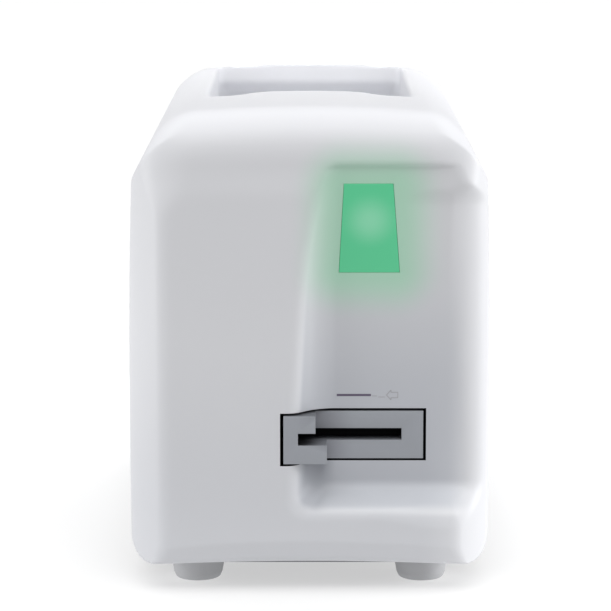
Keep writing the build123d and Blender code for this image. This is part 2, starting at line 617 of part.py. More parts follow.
# ---------------------------------------------------------------- rear panel and what it carries
INLET_X, INLET_Z = -52.0, 100.0
ROCK_Z, ROCK_Y = 145.0, 165.0
USB_X, NET_X, PORT_Z0 = -10.0, 18.0, 62.6
FAN_X, FAN_Z = 44.0, 150.0
with BuildPart() as rear_panel:
    block(-POCKET_X + 0.2, POCKET_X - 0.2, PANEL_Y0, PANEL_Y1, POCKET_Z0 + 0.2, POCKET_Z1 - 0.2)
    block(INLET_X - 14.0, INLET_X + 14.0, 160.0, 180.0, INLET_Z - 17.0, INLET_Z + 17.0, mode=Mode.SUBTRACT)
    block(INLET_X - 9.2, INLET_X + 9.2, 160.0, 180.0, ROCK_Z - 13.0, ROCK_Z + 13.0, mode=Mode.SUBTRACT)
    block(USB_X - 6.3, USB_X + 6.3, 160.0, 180.0, PORT_Z0 - 0.3, PORT_Z0 + 11.3, mode=Mode.SUBTRACT)
    block(NET_X - 8.3, NET_X + 8.3, 160.0, 180.0, PORT_Z0 - 0.3, PORT_Z0 + 14.3, mode=Mode.SUBTRACT)
    rod_y(FAN_X, 160.0, 180.0, FAN_Z, 28.0, mode=Mode.SUBTRACT)
    for dx in (-25.0, 25.0):
        for dz in (-25.0, 25.0):
            rod_y(FAN_X + dx, 160.0, 180.0, FAN_Z + dz, 2.0, mode=Mode.SUBTRACT)
    for s in (-1, 1):
        for z in (45.5, 203.5):
            rod_y(s * 80.5, 160.0, 180.0, z, 1.6, mode=Mode.SUBTRACT)
    # a band of vent slots under the roof
    for k in range(15):
        block(-60.0 + 4.6 * k, -57.8 + 4.6 * k, 160.0, 180.0, 178.0, 196.0, mode=Mode.SUBTRACT)
write(rear_panel, "rear_panel")

with BuildPart() as rear_panel_screws:
    for s in (-1, 1):
        for z in (45.5, 203.5):
            rod_y(s * 80.5, PANEL_Y1, PANEL_Y1 + 1.9, z, 2.8)
            rod_y(s * 80.5, 165.0, PANEL_Y1, z, 1.2)
            rod_y(s * 80.5, PANEL_Y1 + 0.9, PANEL_Y1 + 3.0, z, 1.0, mode=Mode.SUBTRACT)
write(rear_panel_screws, "rear_panel_screws")

PINS = [(-7.0, 105.0), (7.0, 105.0), (0.0, 109.0)]  # (dx, z) of the blades
with BuildPart() as inlet_housing:
    block(INLET_X - 16.0, INLET_X + 16.0, PANEL_Y1, PANEL_Y1 + 2.0, INLET_Z - 19.0, INLET_Z + 19.0)
    block(INLET_X - 13.9, INLET_X + 13.9, 148.0, PANEL_Y1, INLET_Z - 16.9, INLET_Z + 16.9)
    with BuildSketch(Plane.XZ.offset(-180.0)) as socket:
        with Locations((INLET_X, 106.4)):
            Rectangle(24.0, 16.4)
        chamfer(socket.vertices().group_by(Axis.Y)[-1], 4.5)
    extrude(amount=24.0, mode=Mode.SUBTRACT)
    block(INLET_X - 12.0, INLET_X + 12.0, 151.0, 180.0, 85.5, 94.5, mode=Mode.SUBTRACT)
    for dx, z in PINS:
        block(INLET_X + dx - 1.0, INLET_X + dx + 1.0, 140.0, 160.0, z - 2.0, z + 2.0, mode=Mode.SUBTRACT)
write(inlet_housing, "inlet_housing")

with BuildPart() as inlet_pins:
    for dx, z in PINS:
        block(INLET_X + dx - 1.0, INLET_X + dx + 1.0, 140.0, 167.5, z - 2.0, z + 2.0)
write(inlet_pins, "inlet_pins")

with BuildPart() as fuse_drawer:
    block(INLET_X - 11.7, INLET_X + 11.7, 151.4, 173.8, 85.8, 94.2)
    block(INLET_X - 12.6, INLET_X + 12.6, 173.8, 175.0, 85.0, 95.0)
    for dx in (-5.0, 5.0):
        rod_y(INLET_X + dx, 152.4, 172.6, 89.6, 2.6, mode=Mode.SUBTRACT)
        block(INLET_X + dx - 2.6, INLET_X + dx + 2.6, 152.4, 172.6, 89.6, 96.0, mode=Mode.SUBTRACT)
write(fuse_drawer, "fuse_drawer")

with BuildPart() as fuses:
    for dx in (-5.0, 5.0):
        rod_y(INLET_X + dx, 152.5, 172.5, 89.5, 2.5)
write(fuses, "fuses")

with BuildPart() as rocker_frame:
    block(INLET_X - 11.0, INLET_X + 11.0, PANEL_Y1, PANEL_Y1 + 1.5, ROCK_Z - 15.0, ROCK_Z + 15.0)
    block(INLET_X - 9.1, INLET_X + 9.1, 152.0, PANEL_Y1, ROCK_Z - 12.9, ROCK_Z + 12.9)
    block(INLET_X - 7.5, INLET_X + 7.5, 156.0, 180.0, ROCK_Z - 11.0, ROCK_Z + 11.0, mode=Mode.SUBTRACT)
    rod_x(INLET_X - 8.6, INLET_X + 8.6, ROCK_Y, ROCK_Z, 1.5 + RUN, mode=Mode.SUBTRACT)
write(rocker_frame, "rocker_frame")

# The rocker is drawn in its off position, tilted about its pivot: its upper end stands out
TILT = radians(-8.0)


def tilted(y, z):
    return (ROCK_Y + y * cos(TILT) - z * sin(TILT), ROCK_Z + y * sin(TILT) + z * cos(TILT))


with BuildPart() as power_rocker:
    slab_x([tilted(*p) for p in ((-3.5, -3.0), (3.5, -9.6), (7.6, -9.6), (6.0, 0.0), (7.6, 9.6), (3.5, 9.6), (-3.5, 3.0))], INLET_X - 7.2, INLET_X + 7.2)
    rod_x(INLET_X - 8.4, INLET_X + 8.4, ROCK_Y, ROCK_Z, 1.5)
write(power_rocker, "power_rocker")

with BuildPart() as usb_port:
    block(USB_X - 6.0, USB_X + 6.0, 154.0, 172.4, PORT_Z0, PORT_Z0 + 11.0)
    with BuildSketch(Plane.XZ.offset(-173.0)) as usb_mouth:
        with Locations((USB_X, PORT_Z0 + 5.5)):
            Rectangle(8.6, 7.8)
        chamfer(usb_mouth.vertices().group_by(Axis.Y)[-1], 1.6)
    extrude(amount=10.0, mode=Mode.SUBTRACT)
    block(USB_X - 2.8, USB_X + 2.8, 162.0, 171.6, PORT_Z0 + 3.9, PORT_Z0 + 7.1)
write(usb_port, "usb_port")

with BuildPart() as network_port:
    block(NET_X - 8.0, NET_X + 8.0, 152.0, 172.4, PORT_Z0, PORT_Z0 + 14.0)
    block(NET_X - 5.9, NET_X + 5.9, 159.0, 180.0, PORT_Z0 + 2.0, PORT_Z0 + 9.2, mode=Mode.SUBTRACT)
    block(NET_X - 3.2, NET_X + 3.2, 159.0, 180.0, PORT_Z0 + 9.2, PORT_Z0 + 10.8, mode=Mode.SUBTRACT)
    block(NET_X - 1.6, NET_X + 1.6, 159.0, 180.0, PORT_Z0 + 10.8, PORT_Z0 + 12.4, mode=Mode.SUBTRACT)
write(network_port, "network_port")

FAN_Y0, FAN_Y1 = 148.5, 168.5
with BuildPart() as fan_frame:
    with BuildSketch(Plane.XZ.offset(-FAN_Y0)):
        with Locations((FAN_X, FAN_Z)):
            RectangleRounded(60.0, 60.0, 4.0)
            Circle(28.2, mode=Mode.SUBTRACT)
    extrude(amount=-(FAN_Y1 - FAN_Y0))
    rod_y(FAN_X, FAN_Y0, FAN_Y0 + 3.0, FAN_Z, 13.0)
    for a in (30, 150, 270):
        mx, mz = FAN_X + 21.0 * cos(radians(a)), FAN_Z + 21.0 * sin(radians(a))
        with Locations(Location((mx, FAN_Y0 + 1.2, mz), (0, -a, 0))):
            Box(18.0, 2.4, 3.0)
    for dx in (-25.0, 25.0):
        for dz in (-25.0, 25.0):
            rod_y(FAN_X + dx, FAN_Y0 - 1, FAN_Y1 + 1, FAN_Z + dz, 1.9, mode=Mode.SUBTRACT)
    rod_y(FAN_X, FAN_Y0 - 1, FAN_Y0 + 4.0, FAN_Z, 1.5 + RUN, mode=Mode.SUBTRACT)
write(fan_frame, "fan_frame")

with BuildPart() as fan_rotor:
    rod_y(FAN_X, FAN_Y0 + 3.5, FAN_Y1 - 1.5, FAN_Z, 13.0)
    rod_y(FAN_X, FAN_Y0 + 0.5, FAN_Y0 + 3.5, FAN_Z, 1.5)
    for k in range(7):
        a = 360.0 / 7 * k
        mx, mz = FAN_X + 19.5 * cos(radians(a)), FAN_Z + 19.5 * sin(radians(a))
        with Locations(Location((mx, FAN_Y0 + 11.0, mz), (0, -a, 0)) * Location((0, 0, 0), (38, 0, 0))):
            Box(14.5, 1.3, 15.0)
write(fan_rotor, "fan_rotor")

with BuildPart() as fan_guard:
    with BuildSketch(Plane.XZ.offset(-PANEL_Y1)):
        with Locations((FAN_X, FAN_Z)):
            for r in (30.0, 26.0, 22.0, 18.0, 14.0, 10.0, 6.0):
                Circle(r)
                Circle(r - 1.5, mode=Mode.SUBTRACT)
        for dx in (-25.0, 25.0):
            for dz in (-25.0, 25.0):
                with Locations((FAN_X + dx, FAN_Z + dz)):
                    Circle(4.0)
        with Locations(Location((FAN_X, FAN_Z, 0), (0, 0, 45)), Location((FAN_X, FAN_Z, 0), (0, 0, 135))):
            Rectangle(70.0, 1.8)
        for dx in (-25.0, 25.0):
            for dz in (-25.0, 25.0):
                with Locations((FAN_X + dx, FAN_Z + dz)):
                    Circle(2.1, mode=Mode.SUBTRACT)
    extrude(amount=-1.6)
write(fan_guard, "fan_guard")

with BuildPart() as fan_screws:
    for dx in (-25.0, 25.0):
        for dz in (-25.0, 25.0):
            rod_y(FAN_X + dx, PANEL_Y1 + 1.6, PANEL_Y1 + 3.4, FAN_Z + dz, 3.4)
            rod_y(FAN_X + dx, 158.0, PANEL_Y1 + 1.6, FAN_Z + dz, 1.85)
            rod_y(FAN_X + dx, PANEL_Y1 + 2.6, PANEL_Y1 + 4.0, FAN_Z + dz, 1.2, mode=Mode.SUBTRACT)
write(fan_screws, "fan_screws")
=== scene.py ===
import json
import math

import bmesh
import bpy
import numpy as np
from mathutils import Matrix, Vector


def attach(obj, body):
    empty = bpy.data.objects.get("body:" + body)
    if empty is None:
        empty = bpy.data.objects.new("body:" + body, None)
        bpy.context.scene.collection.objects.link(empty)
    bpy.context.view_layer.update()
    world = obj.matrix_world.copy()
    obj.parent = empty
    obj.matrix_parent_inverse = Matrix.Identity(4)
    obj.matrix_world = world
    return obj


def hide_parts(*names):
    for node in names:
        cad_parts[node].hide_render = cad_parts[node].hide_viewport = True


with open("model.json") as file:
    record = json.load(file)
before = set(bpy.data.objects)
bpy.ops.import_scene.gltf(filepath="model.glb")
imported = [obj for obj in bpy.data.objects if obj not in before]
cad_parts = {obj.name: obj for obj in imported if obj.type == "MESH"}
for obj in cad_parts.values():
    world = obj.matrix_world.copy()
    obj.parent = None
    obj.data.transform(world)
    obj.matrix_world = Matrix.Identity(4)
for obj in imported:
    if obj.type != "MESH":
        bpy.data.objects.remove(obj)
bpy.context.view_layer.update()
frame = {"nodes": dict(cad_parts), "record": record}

S = 0.001  # the profiles below are in mm, as in the CAD

# =====================================================================================================
# Camera, at the photograph's viewing angle
# =====================================================================================================
cam_data = bpy.data.cameras.new("camera")
cam = bpy.data.objects.new("camera", cam_data)
bpy.context.scene.collection.objects.link(cam)
cam.location = (0.0, -1.6755, 0.40856)
cam.rotation_euler = (math.radians(90.0) - 0.164667, 0.0, 0.0)
cam_data.sensor_width = 36.0
cam_data.lens = 2840.28 / 611.0 * 36.0
cam_data.shift_x = -4.0 / 611.0
cam_data.clip_start, cam_data.clip_end = 0.05, 60.0
bpy.context.scene.camera = cam
bpy.context.scene.view_settings.view_transform = "Standard"
bpy.context.scene.view_settings.look = "None"

# =====================================================================================================
# Distance fields of the casing's outer form
# =====================================================================================================
FOOT_W, SIDE_MID_W, SIDE_TOP_W = 98.2, 98.9, 96.3
F, B, H, ZB = -175.5, 175.1, 264.0, 15.2
SHOULDER_Z, CROWN_X, CROWN_Z = 225.0, 77.9, 260.2
R_BOTTOM, R_SHOULDER = 12.0, 16.0
R_FRONT_TOP, R_REAR_TOP = 29.0, 45.0
PLAN_W = 99.2
Y_SPLIT, Z_SPLIT, GAP = -136.0, 37.0, 0.3
BEZ_X0, BEZ_X1, BEZ_Z0, BEZ_Z1 = -14.1, 61.9, 72.3, 98.8
SLOT_X0, SLOT_X1, SLOT_Z0, SLOT_Z1 = -6.3, 50.1, 82.7, 89.1
RECESS = 15.0


def three_point(a, m, b, n=24):
    """Points on the circle through a, m and b, from a to b."""
    ax, ay = a
    bx, by = m
    cx, cy = b
    d = 2 * (ax * (by - cy) + bx * (cy - ay) + cx * (ay - by))
    ux = ((ax**2 + ay**2) * (by - cy) + (bx**2 + by**2) * (cy - ay) + (cx**2 + cy**2) * (ay - by)) / d
    uy = ((ax**2 + ay**2) * (cx - bx) + (bx**2 + by**2) * (ax - cx) + (cx**2 + cy**2) * (bx - ax)) / d
    r = math.hypot(ax - ux, ay - uy)
    t0, tm, t1 = (math.atan2(p[1] - uy, p[0] - ux) for p in (a, m, b))
    while tm < t0:
        tm += 2 * math.pi
    while t1 < t0:
        t1 += 2 * math.pi
    if tm > t1:
        t1 -= 2 * math.pi
    return [(ux + r * math.cos(t0 + (t1 - t0) * k / n), uy + r * math.sin(t0 + (t1 - t0) * k / n)) for k in range(n + 1)]


def rounded(points):
    """A closed polygon from (x, y, radius) corners, each corner turned into an arc of that radius."""
    out = []
    n = len(points)
    for i in range(n):
        p0, p1, p2 = points[i - 1], points[i], points[(i + 1) % n]
        r = p1[2]
        if not r:
            out.append(p1[:2])
            continue
        a, b, c = (np.array(p[:2], float) for p in (p0, p1, p2))
        u, v = (a - b) / np.linalg.norm(a - b), (c - b) / np.linalg.norm(c - b)
        half = math.acos(max(-1.0, min(1.0, float(u @ v)))) / 2
        t = r / math.tan(half)
        centre = b + (u + v) / np.linalg.norm(u + v) * (r / math.sin(half))
        s, e = b + u * t - centre, b + v * t - centre
        a0, a1 = math.atan2(s[1], s[0]), math.atan2(e[1], e[0])
        turn = (a1 - a0 + math.pi) % (2 * math.pi) - math.pi
        k = max(3, int(abs(turn) / math.radians(3.0)))
        out += [(centre[0] + r * math.cos(a0 + turn * j / k), centre[1] + r * math.sin(a0 + turn * j / k)) for j in range(k + 1)]
    return np.array(out)


class Table:
    """Signed distance to a closed polygon, on a fine grid, read back by bilinear interpolation. Negative inside."""

    def __init__(self, poly, step=0.6, margin=14.0):
        lo, hi = poly.min(0) - margin, poly.max(0) + margin
        self.lo, self.step = lo, step
        self.n = np.ceil((hi - lo) / step).astype(int) + 1
        u = lo[0] + step * np.arange(self.n[0])
        v = lo[1] + step * np.arange(self.n[1])
        U, V = (g.ravel().astype(np.float32) for g in np.meshgrid(u, v, indexing="ij"))
        best = np.full(U.shape, 1e12, np.float32)
        inside = np.zeros(U.shape, bool)
        m = len(poly)
        for i in range(m):
            ax, ay = poly[i]
            bx, by = poly[(i + 1) % m]
            dx, dy = bx - ax, by - ay
            L = dx * dx + dy * dy
            if L < 1e-12:
                continue
            t = np.clip(((U - ax) * dx + (V - ay) * dy) / L, 0, 1)
            best = np.minimum(best, (U - ax - t * dx) ** 2 + (V - ay - t * dy) ** 2)
            if dy:
                cross = ((ay > V) != (by > V)) & (U < (V - ay) * dx / dy + ax)
                inside ^= cross
        d = np.sqrt(best)
        d[inside] *= -1
        self.d = d.reshape(self.n)

    def __call__(self, u, v):
        fu = np.clip((u - self.lo[0]) / self.step, 0, self.n[0] - 1.001)
        fv = np.clip((v - self.lo[1]) / self.step, 0, self.n[1] - 1.001)
        fu, fv = np.broadcast_arrays(fu, fv)
        i, j = fu.astype(int), fv.astype(int)
        a, b = fu - i, fv - j
        d = self.d
        return (1 - a) * (1 - b) * d[i, j] + a * (1 - b) * d[i + 1, j] + (1 - a) * b * d[i, j + 1] + a * b * d[i + 1, j + 1]


# section across (X, Z), its sides slightly crowned. It is open at the top: the crown comes from the side outline
_side = three_point((FOOT_W, ZB), (SIDE_MID_W, 120.0), (SIDE_TOP_W, SHOULDER_Z), 16)
_lean = (CROWN_X - SIDE_TOP_W) / (CROWN_Z - SHOULDER_Z)
_right = [(_side[0][0], _side[0][1], R_BOTTOM)] + [(x, z, 0) for x, z in _side[3:-3]] + [(_side[-1][0], _side[-1][1], R_SHOULDER)]
_right += [(CROWN_X + _lean * (292.0 - CROWN_Z), 292.0, 0)]
section = Table(rounded(_right + [(-x, z, r) for x, z, r in _right[::-1]]))
# plan (X, Y): only its front curves count, so it runs on past the front and rear planes
_r, _cy = 46.3, F + 38.0
_plan_arc = [(PLAN_W - _r + _r * math.cos(a), _cy + _r * math.sin(a)) for a in np.radians(np.linspace(-72.0, 0.0, 30))]
_half = [(x, y, 0) for x, y in _plan_arc] + [(PLAN_W, B + 30.0, 0)]
plan = Table(rounded(_half + [(-x, y, r) for x, y, r in _half[::-1]]), margin=24.0)
# side (Y, Z): its underside drops away behind the front bevel, because the section closes the bottom
side = Table(
    rounded([(F, H, R_FRONT_TOP), (F, 29.0, 5.0), (F + 3.5, 19.0, 6.0), (F + 23.7, ZB - 8.0, 0), (B, ZB - 8.0, 0), (B, H, R_REAR_TOP)]),
    margin=24.0,
)
# the recess in the front: everything before this line (Y, Z)
recess_line = Table(
    rounded(
        [
            (F - 60.0, 239.5, 0),
            (F - 2.0, 237.0, 0),
            (F + 4.2, 233.4, 1.6),
            (F + 5.2, 222.0, 30.0),
            (F + 11.6, 172.0, 160.0),
            (F + 14.2, 136.0, 120.0),
            (F + RECESS, 112.0, 60.0),
            (F + RECESS, 57.0, 8.0),
            (F - 2.0, 42.4, 0),
            (F - 60.0, 20.0, 0),
        ]
    ),
    margin=20.0,
)
# the hollow in the top (Y, Z)
hollow_line = Table(
    rounded(
        [
            (-92.0, 300.0, 0),
            (-80.0, 264.5, 0),
            (-68.0, 259.5, 10.0),
            (-40.0, 255.0, 60.0),
            (98.0, 232.0, 30.0),
            (112.0, 229.2, 10.0),
            (141.0, 229.2, 6.0),
            (141.0, 244.0, 6.0),
            (131.0, 252.0, 5.0),
            (131.0, 300.0, 0),
        ]
    ),
    margin=20.0,
)
# its outline (X, Y): the near lip stands back in the middle and comes forward at the corners
_lip = [(58.0, 144.0, 14.0), (58.0, -75.0, 4.0), (48.0, -75.0, 9.0), (33.0, -51.0, 22.0)]
hollow_plan = Table(rounded(_lip + [(-x, y, r) for x, y, r in _lip[::-1]]), margin=24.0)
LEFT_Z = np.array([30.0, 52.5, 67.5, 104.0, 131.0, 150.0, 168.0, 185.5, 201.7, 228.0, 245.0])
LEFT_X = np.array([-8.2, -8.2, -8.2, -6.8, -5.2, -4.3, -3.0, -1.4, 1.9, 6.6, 9.4]) - 1.4
_fine = np.arange(20.0, 255.0, 0.5)
_raw = np.interp(_fine, LEFT_Z, LEFT_X)
_kernel = np.exp(-0.5 * (np.arange(-30, 31) * 0.5 / 6.0) ** 2)
LEFT_SMOOTH = np.convolve(np.pad(_raw, 30, mode="edge"), _kernel / _kernel.sum(), "valid")


def smooth_and(a, b, r):
    """Intersection of two fields with an edge rounded to radius r."""
    return np.minimum(-r, np.maximum(a, b)) + np.hypot(np.maximum(a + r, 0), np.maximum(b + r, 0))


def ramp(t, a, b):
    t = np.clip((t - a) / (b - a), 0, 1)
    return t * t * (3 - 2 * t)


def rounded_rect(x, y, cx, cy, hx, hy, r):
    qx, qy = np.abs(x - cx) - hx + r, np.abs(y - cy) - hy + r
    return np.hypot(np.maximum(qx, 0), np.maximum(qy, 0)) + np.minimum(np.maximum(qx, qy), 0) - r


def casing_field(x, y, z):
    """Distance to the outside of the casing, negative inside."""
    drop = 3.8 * (x / CROWN_X) ** 2
    walls = np.maximum(section(x, z), plan(x, y))
    edge = 2.6 + 10.4 * np.maximum(ramp(z, 205.0, 236.0), ramp(y, 100.0, 150.0))
    body = smooth_and(walls, side(y, z + drop), edge)
    left = -(x - np.interp(z, _fine, LEFT_SMOOTH) - (y - F) * 0.92) / 1.36
    cut = smooth_and(recess_line(y, z), left, 6.0)
    rim = 2.8 - 1.3 * ramp(z, 216.0, 229.0) + ramp(x, 38.0, 72.0) * (4.6 + 9.0 * ramp(z, 60.0, 205.0)) * (1 - ramp(z, 212.0, 226.0))
    body = smooth_and(body, -cut, rim)
    pocket = smooth_and(hollow_line(y, z), hollow_plan(x, y), 5.0)
    lip = 1.2 + 1.8 * (1 - ramp(y, 96.0, 124.0)) + 6.0 * (1 - ramp(y, -48.0, -10.0)) * (1 - ramp(np.abs(x), 36.0, 54.0))
    return smooth_and(body, -pocket, lip)


def spaced(*stops):
    """Grid lines from (position, step) stops: each step holds up to the next stop."""
    out = [stops[0][0]]
    for (a, step), (b, _) in zip(stops, stops[1:]):
        n = max(1, int(round((b - a) / step)))
        out += list(a + (b - a) * np.arange(1, n + 1) / n)
    return np.array(out)


def surface_nets(xs, ys, zs, vol):
    """Quads on the zero level of vol, on a grid with uneven lines."""
    nx, ny, nz = vol.shape
    inside = vol < 0
    count = np.zeros((nx - 1, ny - 1, nz - 1), np.uint8)
    for i in (0, 1):
        for j in (0, 1):
            for k in (0, 1):
                count += inside[i : nx - 1 + i, j : ny - 1 + j, k : nz - 1 + k]
    ci, cj, ck = np.nonzero((count > 0) & (count < 8))
    index = np.full(count.shape, -1, np.int32)
    index[ci, cj, ck] = np.arange(len(ci))
    total, hits = np.zeros((len(ci), 3)), np.zeros(len(ci))
    axes = (xs, ys, zs)
    for axis in range(3):
        o1, o2 = [a for a in range(3) if a != axis]
        for s1 in (0, 1):
            for s2 in (0, 1):
                off = [0, 0, 0]
                off[o1], off[o2] = s1, s2
                a = (ci + off[0], cj + off[1], ck + off[2])
                off[axis] = 1
                b = (ci + off[0], cj + off[1], ck + off[2])
                va, vb = vol[a], vol[b]
                hit = (va < 0) != (vb < 0)
                t = va[hit] / (va[hit] - vb[hit])
                p = np.stack([axes[n][a[n][hit]] for n in range(3)], 1)
                q = np.stack([axes[n][b[n][hit]] for n in range(3)], 1)
                total[hit] += p + (q - p) * t[:, None]
                hits[hit] += 1
    verts = total / hits[:, None]
    quads = []
    for axis in range(3):
        o1, o2 = [(1, 2), (2, 0), (0, 1)][axis]
        lo = [slice(None)] * 3
        hi = [slice(None)] * 3
        lo[axis], hi[axis] = slice(0, -1), slice(1, None)
        change = inside[tuple(lo)] != inside[tuple(hi)]
        pos = list(np.nonzero(change))
        ok = (pos[o1] > 0) & (pos[o2] > 0) & (pos[o1] < vol.shape[o1] - 1) & (pos[o2] < vol.shape[o2] - 1)
        pos = [p[ok] for p in pos]

        def cell(d1, d2):
            c = [p.copy() for p in pos]
            c[o1] -= d1
            c[o2] -= d2
            return index[tuple(c)]

        quad = np.stack([cell(1, 1), cell(0, 1), cell(0, 0), cell(1, 0)], 1)
        outward = inside[tuple(pos)]  # inside below, outside above: the face looks along +axis
        quad[~outward] = quad[~outward][:, ::-1]
        quads.append(quad)
    return verts, np.concatenate(quads)


def settle(verts, field, level, steps=4, eps=0.3):
    """Moves points onto field = level along the gradient."""
    v = verts.copy()
    for _ in range(steps):
        x, y, z = v.T
        d = field(x, y, z) - level
        g = np.stack(
            [
                field(x + eps, y, z) - field(x - eps, y, z),
                field(x, y + eps, z) - field(x, y - eps, z),
                field(x, y, z + eps) - field(x, y, z - eps),
            ],
            1,
        ) / (2 * eps)
        n = np.maximum((g * g).sum(1), 0.15)
        v -= np.clip(d / n, -1.2, 1.2)[:, None] * g
    return v


def mesh_object(name, verts, faces, smooth=True):
    me = bpy.data.meshes.new(name)
    me.from_pydata([tuple(v) for v in np.asarray(verts) * S], [], [tuple(int(i) for i in f) for f in faces])
    me.validate()
    me.update()
    if smooth:
        me.polygons.foreach_set("use_smooth", [True] * len(me.polygons))
    o = bpy.data.objects.new(name, me)
    bpy.context.scene.collection.objects.link(o)
    return o


def apply_modifiers(o):
    dg = bpy.context.evaluated_depsgraph_get()
    dg.update()
    me = bpy.data.meshes.new_from_object(o.evaluated_get(dg), depsgraph=dg)
    old = o.data
    o.modifiers.clear()
    o.data = me
    bpy.data.meshes.remove(old)
    return o


def subtract(o, cutter, solver="EXACT"):
    m = o.modifiers.new("cut", "BOOLEAN")
    m.operation, m.object, m.solver = "DIFFERENCE", cutter, solver
    apply_modifiers(o)
    me = cutter.data
    bpy.data.objects.remove(cutter)
    bpy.data.meshes.remove(me)


def bevel(o, width, segments=3, angle=30.0):
    m = o.modifiers.new("bevel", "BEVEL")
    m.width, m.segments, m.limit_method, m.angle_limit = width * S, segments, "ANGLE", math.radians(angle)
    m.harden_normals = False
    apply_modifiers(o)
    shade(o)


def shade(o, angle=35.0):
    o.data.polygons.foreach_set("use_smooth", [True] * len(o.data.polygons))
    o.data.set_sharp_from_angle(angle=math.radians(angle))


def prism(points, lo, hi, axis="y"):
    """(verts, faces) of a polygon swept along an axis: points are (x, z) for y, (y, z) for x, (x, y) for z."""
    n = len(points)
    verts = []
    for t in (lo, hi):
        for p, q in points:
            verts.append({"x": (t, p, q), "y": (p, t, q), "z": (p, q, t)}[axis])
    faces = [tuple(range(n))[::-1], tuple(range(n, 2 * n))]
    faces += [(i, (i + 1) % n, n + (i + 1) % n, n + i) for i in range(n)]
    return verts, faces


def solid(name, *parts, smooth=False):
    """One object from several (verts, faces) shells, each turned to face outward."""
    verts, faces = [], []
    for v, f in parts:
        base = len(verts)
        verts += v
        faces += [tuple(base + i for i in face) for face in f]
    o = mesh_object(name, verts, faces, smooth)
    bm = bmesh.new()
    bm.from_mesh(o.data)
    bmesh.ops.recalc_face_normals(bm, faces=bm.faces)
    bm.to_mesh(o.data)
    bm.free()
    return o


def box_part(x0, x1, y0, y1, z0, z1):
    return prism([(x0, z0), (x1, z0), (x1, z1), (x0, z1)], y0, y1, "y")


# =====================================================================================================
# Hood: outer skin on the field's zero level, inner skin 3 mm inside, openings cut through
# =====================================================================================================
def build_hood():
    xs = spaced((-102, 1.4), (-74, 3.0), (-64, 1.6), (-50, 3.2), (-26, 1.4), (24, 3.0), (50, 1.7), (64, 1.4), (102, 1))
    ys = spaced((F - 4, 1.0), (F + 22, 1.7), (F + 44, 3.4), (-92, 1.8), (-24, 4.0), (100, 1.8), (150, 1.8), (180, 1))
    zs = spaced((11, 1.4), (66, 3.0), (206, 1.4), (268, 1))
    vol = casing_field(xs[:, None, None], ys[None, :, None], zs[None, None, :])
    v, f = surface_nets(xs, ys, zs, vol)
    v = settle(v, casing_field, 0.0)

    def cavity(x, y, z):
        lip = np.maximum(np.maximum(np.abs(x) - 89.0, np.abs(z - 122.0) - 90.0), 165.5 - y)
        return np.maximum(casing_field(x, y, z) + 3.0, -lip)

    xi, yi, zi = spaced((-102, 4.0), (102, 1)), spaced((F - 2, 2.5), (F + 48, 4.0), (150, 3.0), (180, 1)), spaced((11, 4.0), (268, 1))
    vi, fi = surface_nets(xi, yi, zi, cavity(xi[:, None, None], yi[None, :, None], zi[None, None, :]))
    vi = settle(vi, cavity, 0.0, steps=3)
    hood = mesh_object("hood_shell", np.concatenate([v, vi]), np.concatenate([f, fi[:, ::-1] + len(v)]))
    subtract(
        hood,
        solid(
            "cut_a",
            box_part(-74.0, 74.0, F + 12.0, Y_SPLIT + 0.5, 0.0, ZB + 5.0),
            box_part(-84.0, 84.0, 168.5, 190.0, 42.0, 207.0),
            box_part(BEZ_X0 - 1.8, BEZ_X1 + 1.6, F - 5.0, F + 24.0, BEZ_Z0 - 1.1, BEZ_Z1 + 1.4),
            prism([(18.2, 224.4), (44.9, 224.4), (48.75, 175.4), (15.65, 175.4)], F - 5.0, F + 26.0),
        ),
    )
    subtract(hood, solid("cut_b", box_part(-120.0, 120.0, Y_SPLIT, 200.0, 0.0, Z_SPLIT + GAP), box_part(-77.0, 77.0, 160.0, 190.0, 49.0, 200.0)))
    shade(hood, 38.0)
    return hood


hood = build_hood()
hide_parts("hood")
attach(hood, "casing")

# =====================================================================================================
# Floor, lights, world
# =====================================================================================================
floor_me = bpy.data.meshes.new("floor")
floor_me.from_pydata([(-9, -6, 0), (9, -6, 0), (9, 14, 0), (-9, 14, 0)], [], [(0, 1, 2, 3)])
floor = bpy.data.objects.new("floor", floor_me)
bpy.context.scene.collection.objects.link(floor)

world = bpy.data.worlds.new("studio")
bpy.context.scene.world = world
world.use_nodes = True
bg = world.node_tree.nodes["Background"]
bg.inputs["Color"].default_value = (1.0, 1.0, 1.0, 1.0)
bg.inputs["Strength"].default_value = 0.46


def area(name, loc, target, size, power, color=(1, 1, 1)):
    d = bpy.data.lights.new(name, "AREA")
    d.shape, d.size, d.size_y, d.energy, d.color = "RECTANGLE", size[0], size[1], power, color
    o = bpy.data.objects.new(name, d)
    o.location = loc
    o.rotation_mode = "QUATERNION"
    o.rotation_quaternion = (Vector(target) - Vector(loc)).to_track_quat("-Z", "Y")
    bpy.context.scene.collection.objects.link(o)
    return o


sun_data = bpy.data.lights.new("overhead", "SUN")
sun_data.energy, sun_data.angle = 2.22, math.radians(92.0)
sun = bpy.data.objects.new("overhead", sun_data)
bpy.context.scene.collection.objects.link(sun)
area("left", (-1.8, -0.5, 0.45), (0, 0.0, 0.15), (0.9, 1.0), 11.8)
area("right", (1.8, -0.05, 0.35), (0, 0.0, 0.12), (0.9, 1.0), 24.0)
area("front_near", (0.0, -0.75, 0.85), (0, -0.17, 0.2), (0.9, 0.4), 1.5)
spot_data = bpy.data.lights.new("into_hollow", "SPOT")
spot_data.energy, spot_data.spot_size, spot_data.spot_blend, spot_data.shadow_soft_size = 13.0, math.radians(22.0), 0.5, 0.12
spot = bpy.data.objects.new("into_hollow", spot_data)
spot.location = (0.0, -0.3, 1.0)
spot.rotation_mode = "QUATERNION"
spot.rotation_quaternion = (Vector((0.0, 0.14, 0.24)) - Vector(spot.location)).to_track_quat("-Z", "Y")
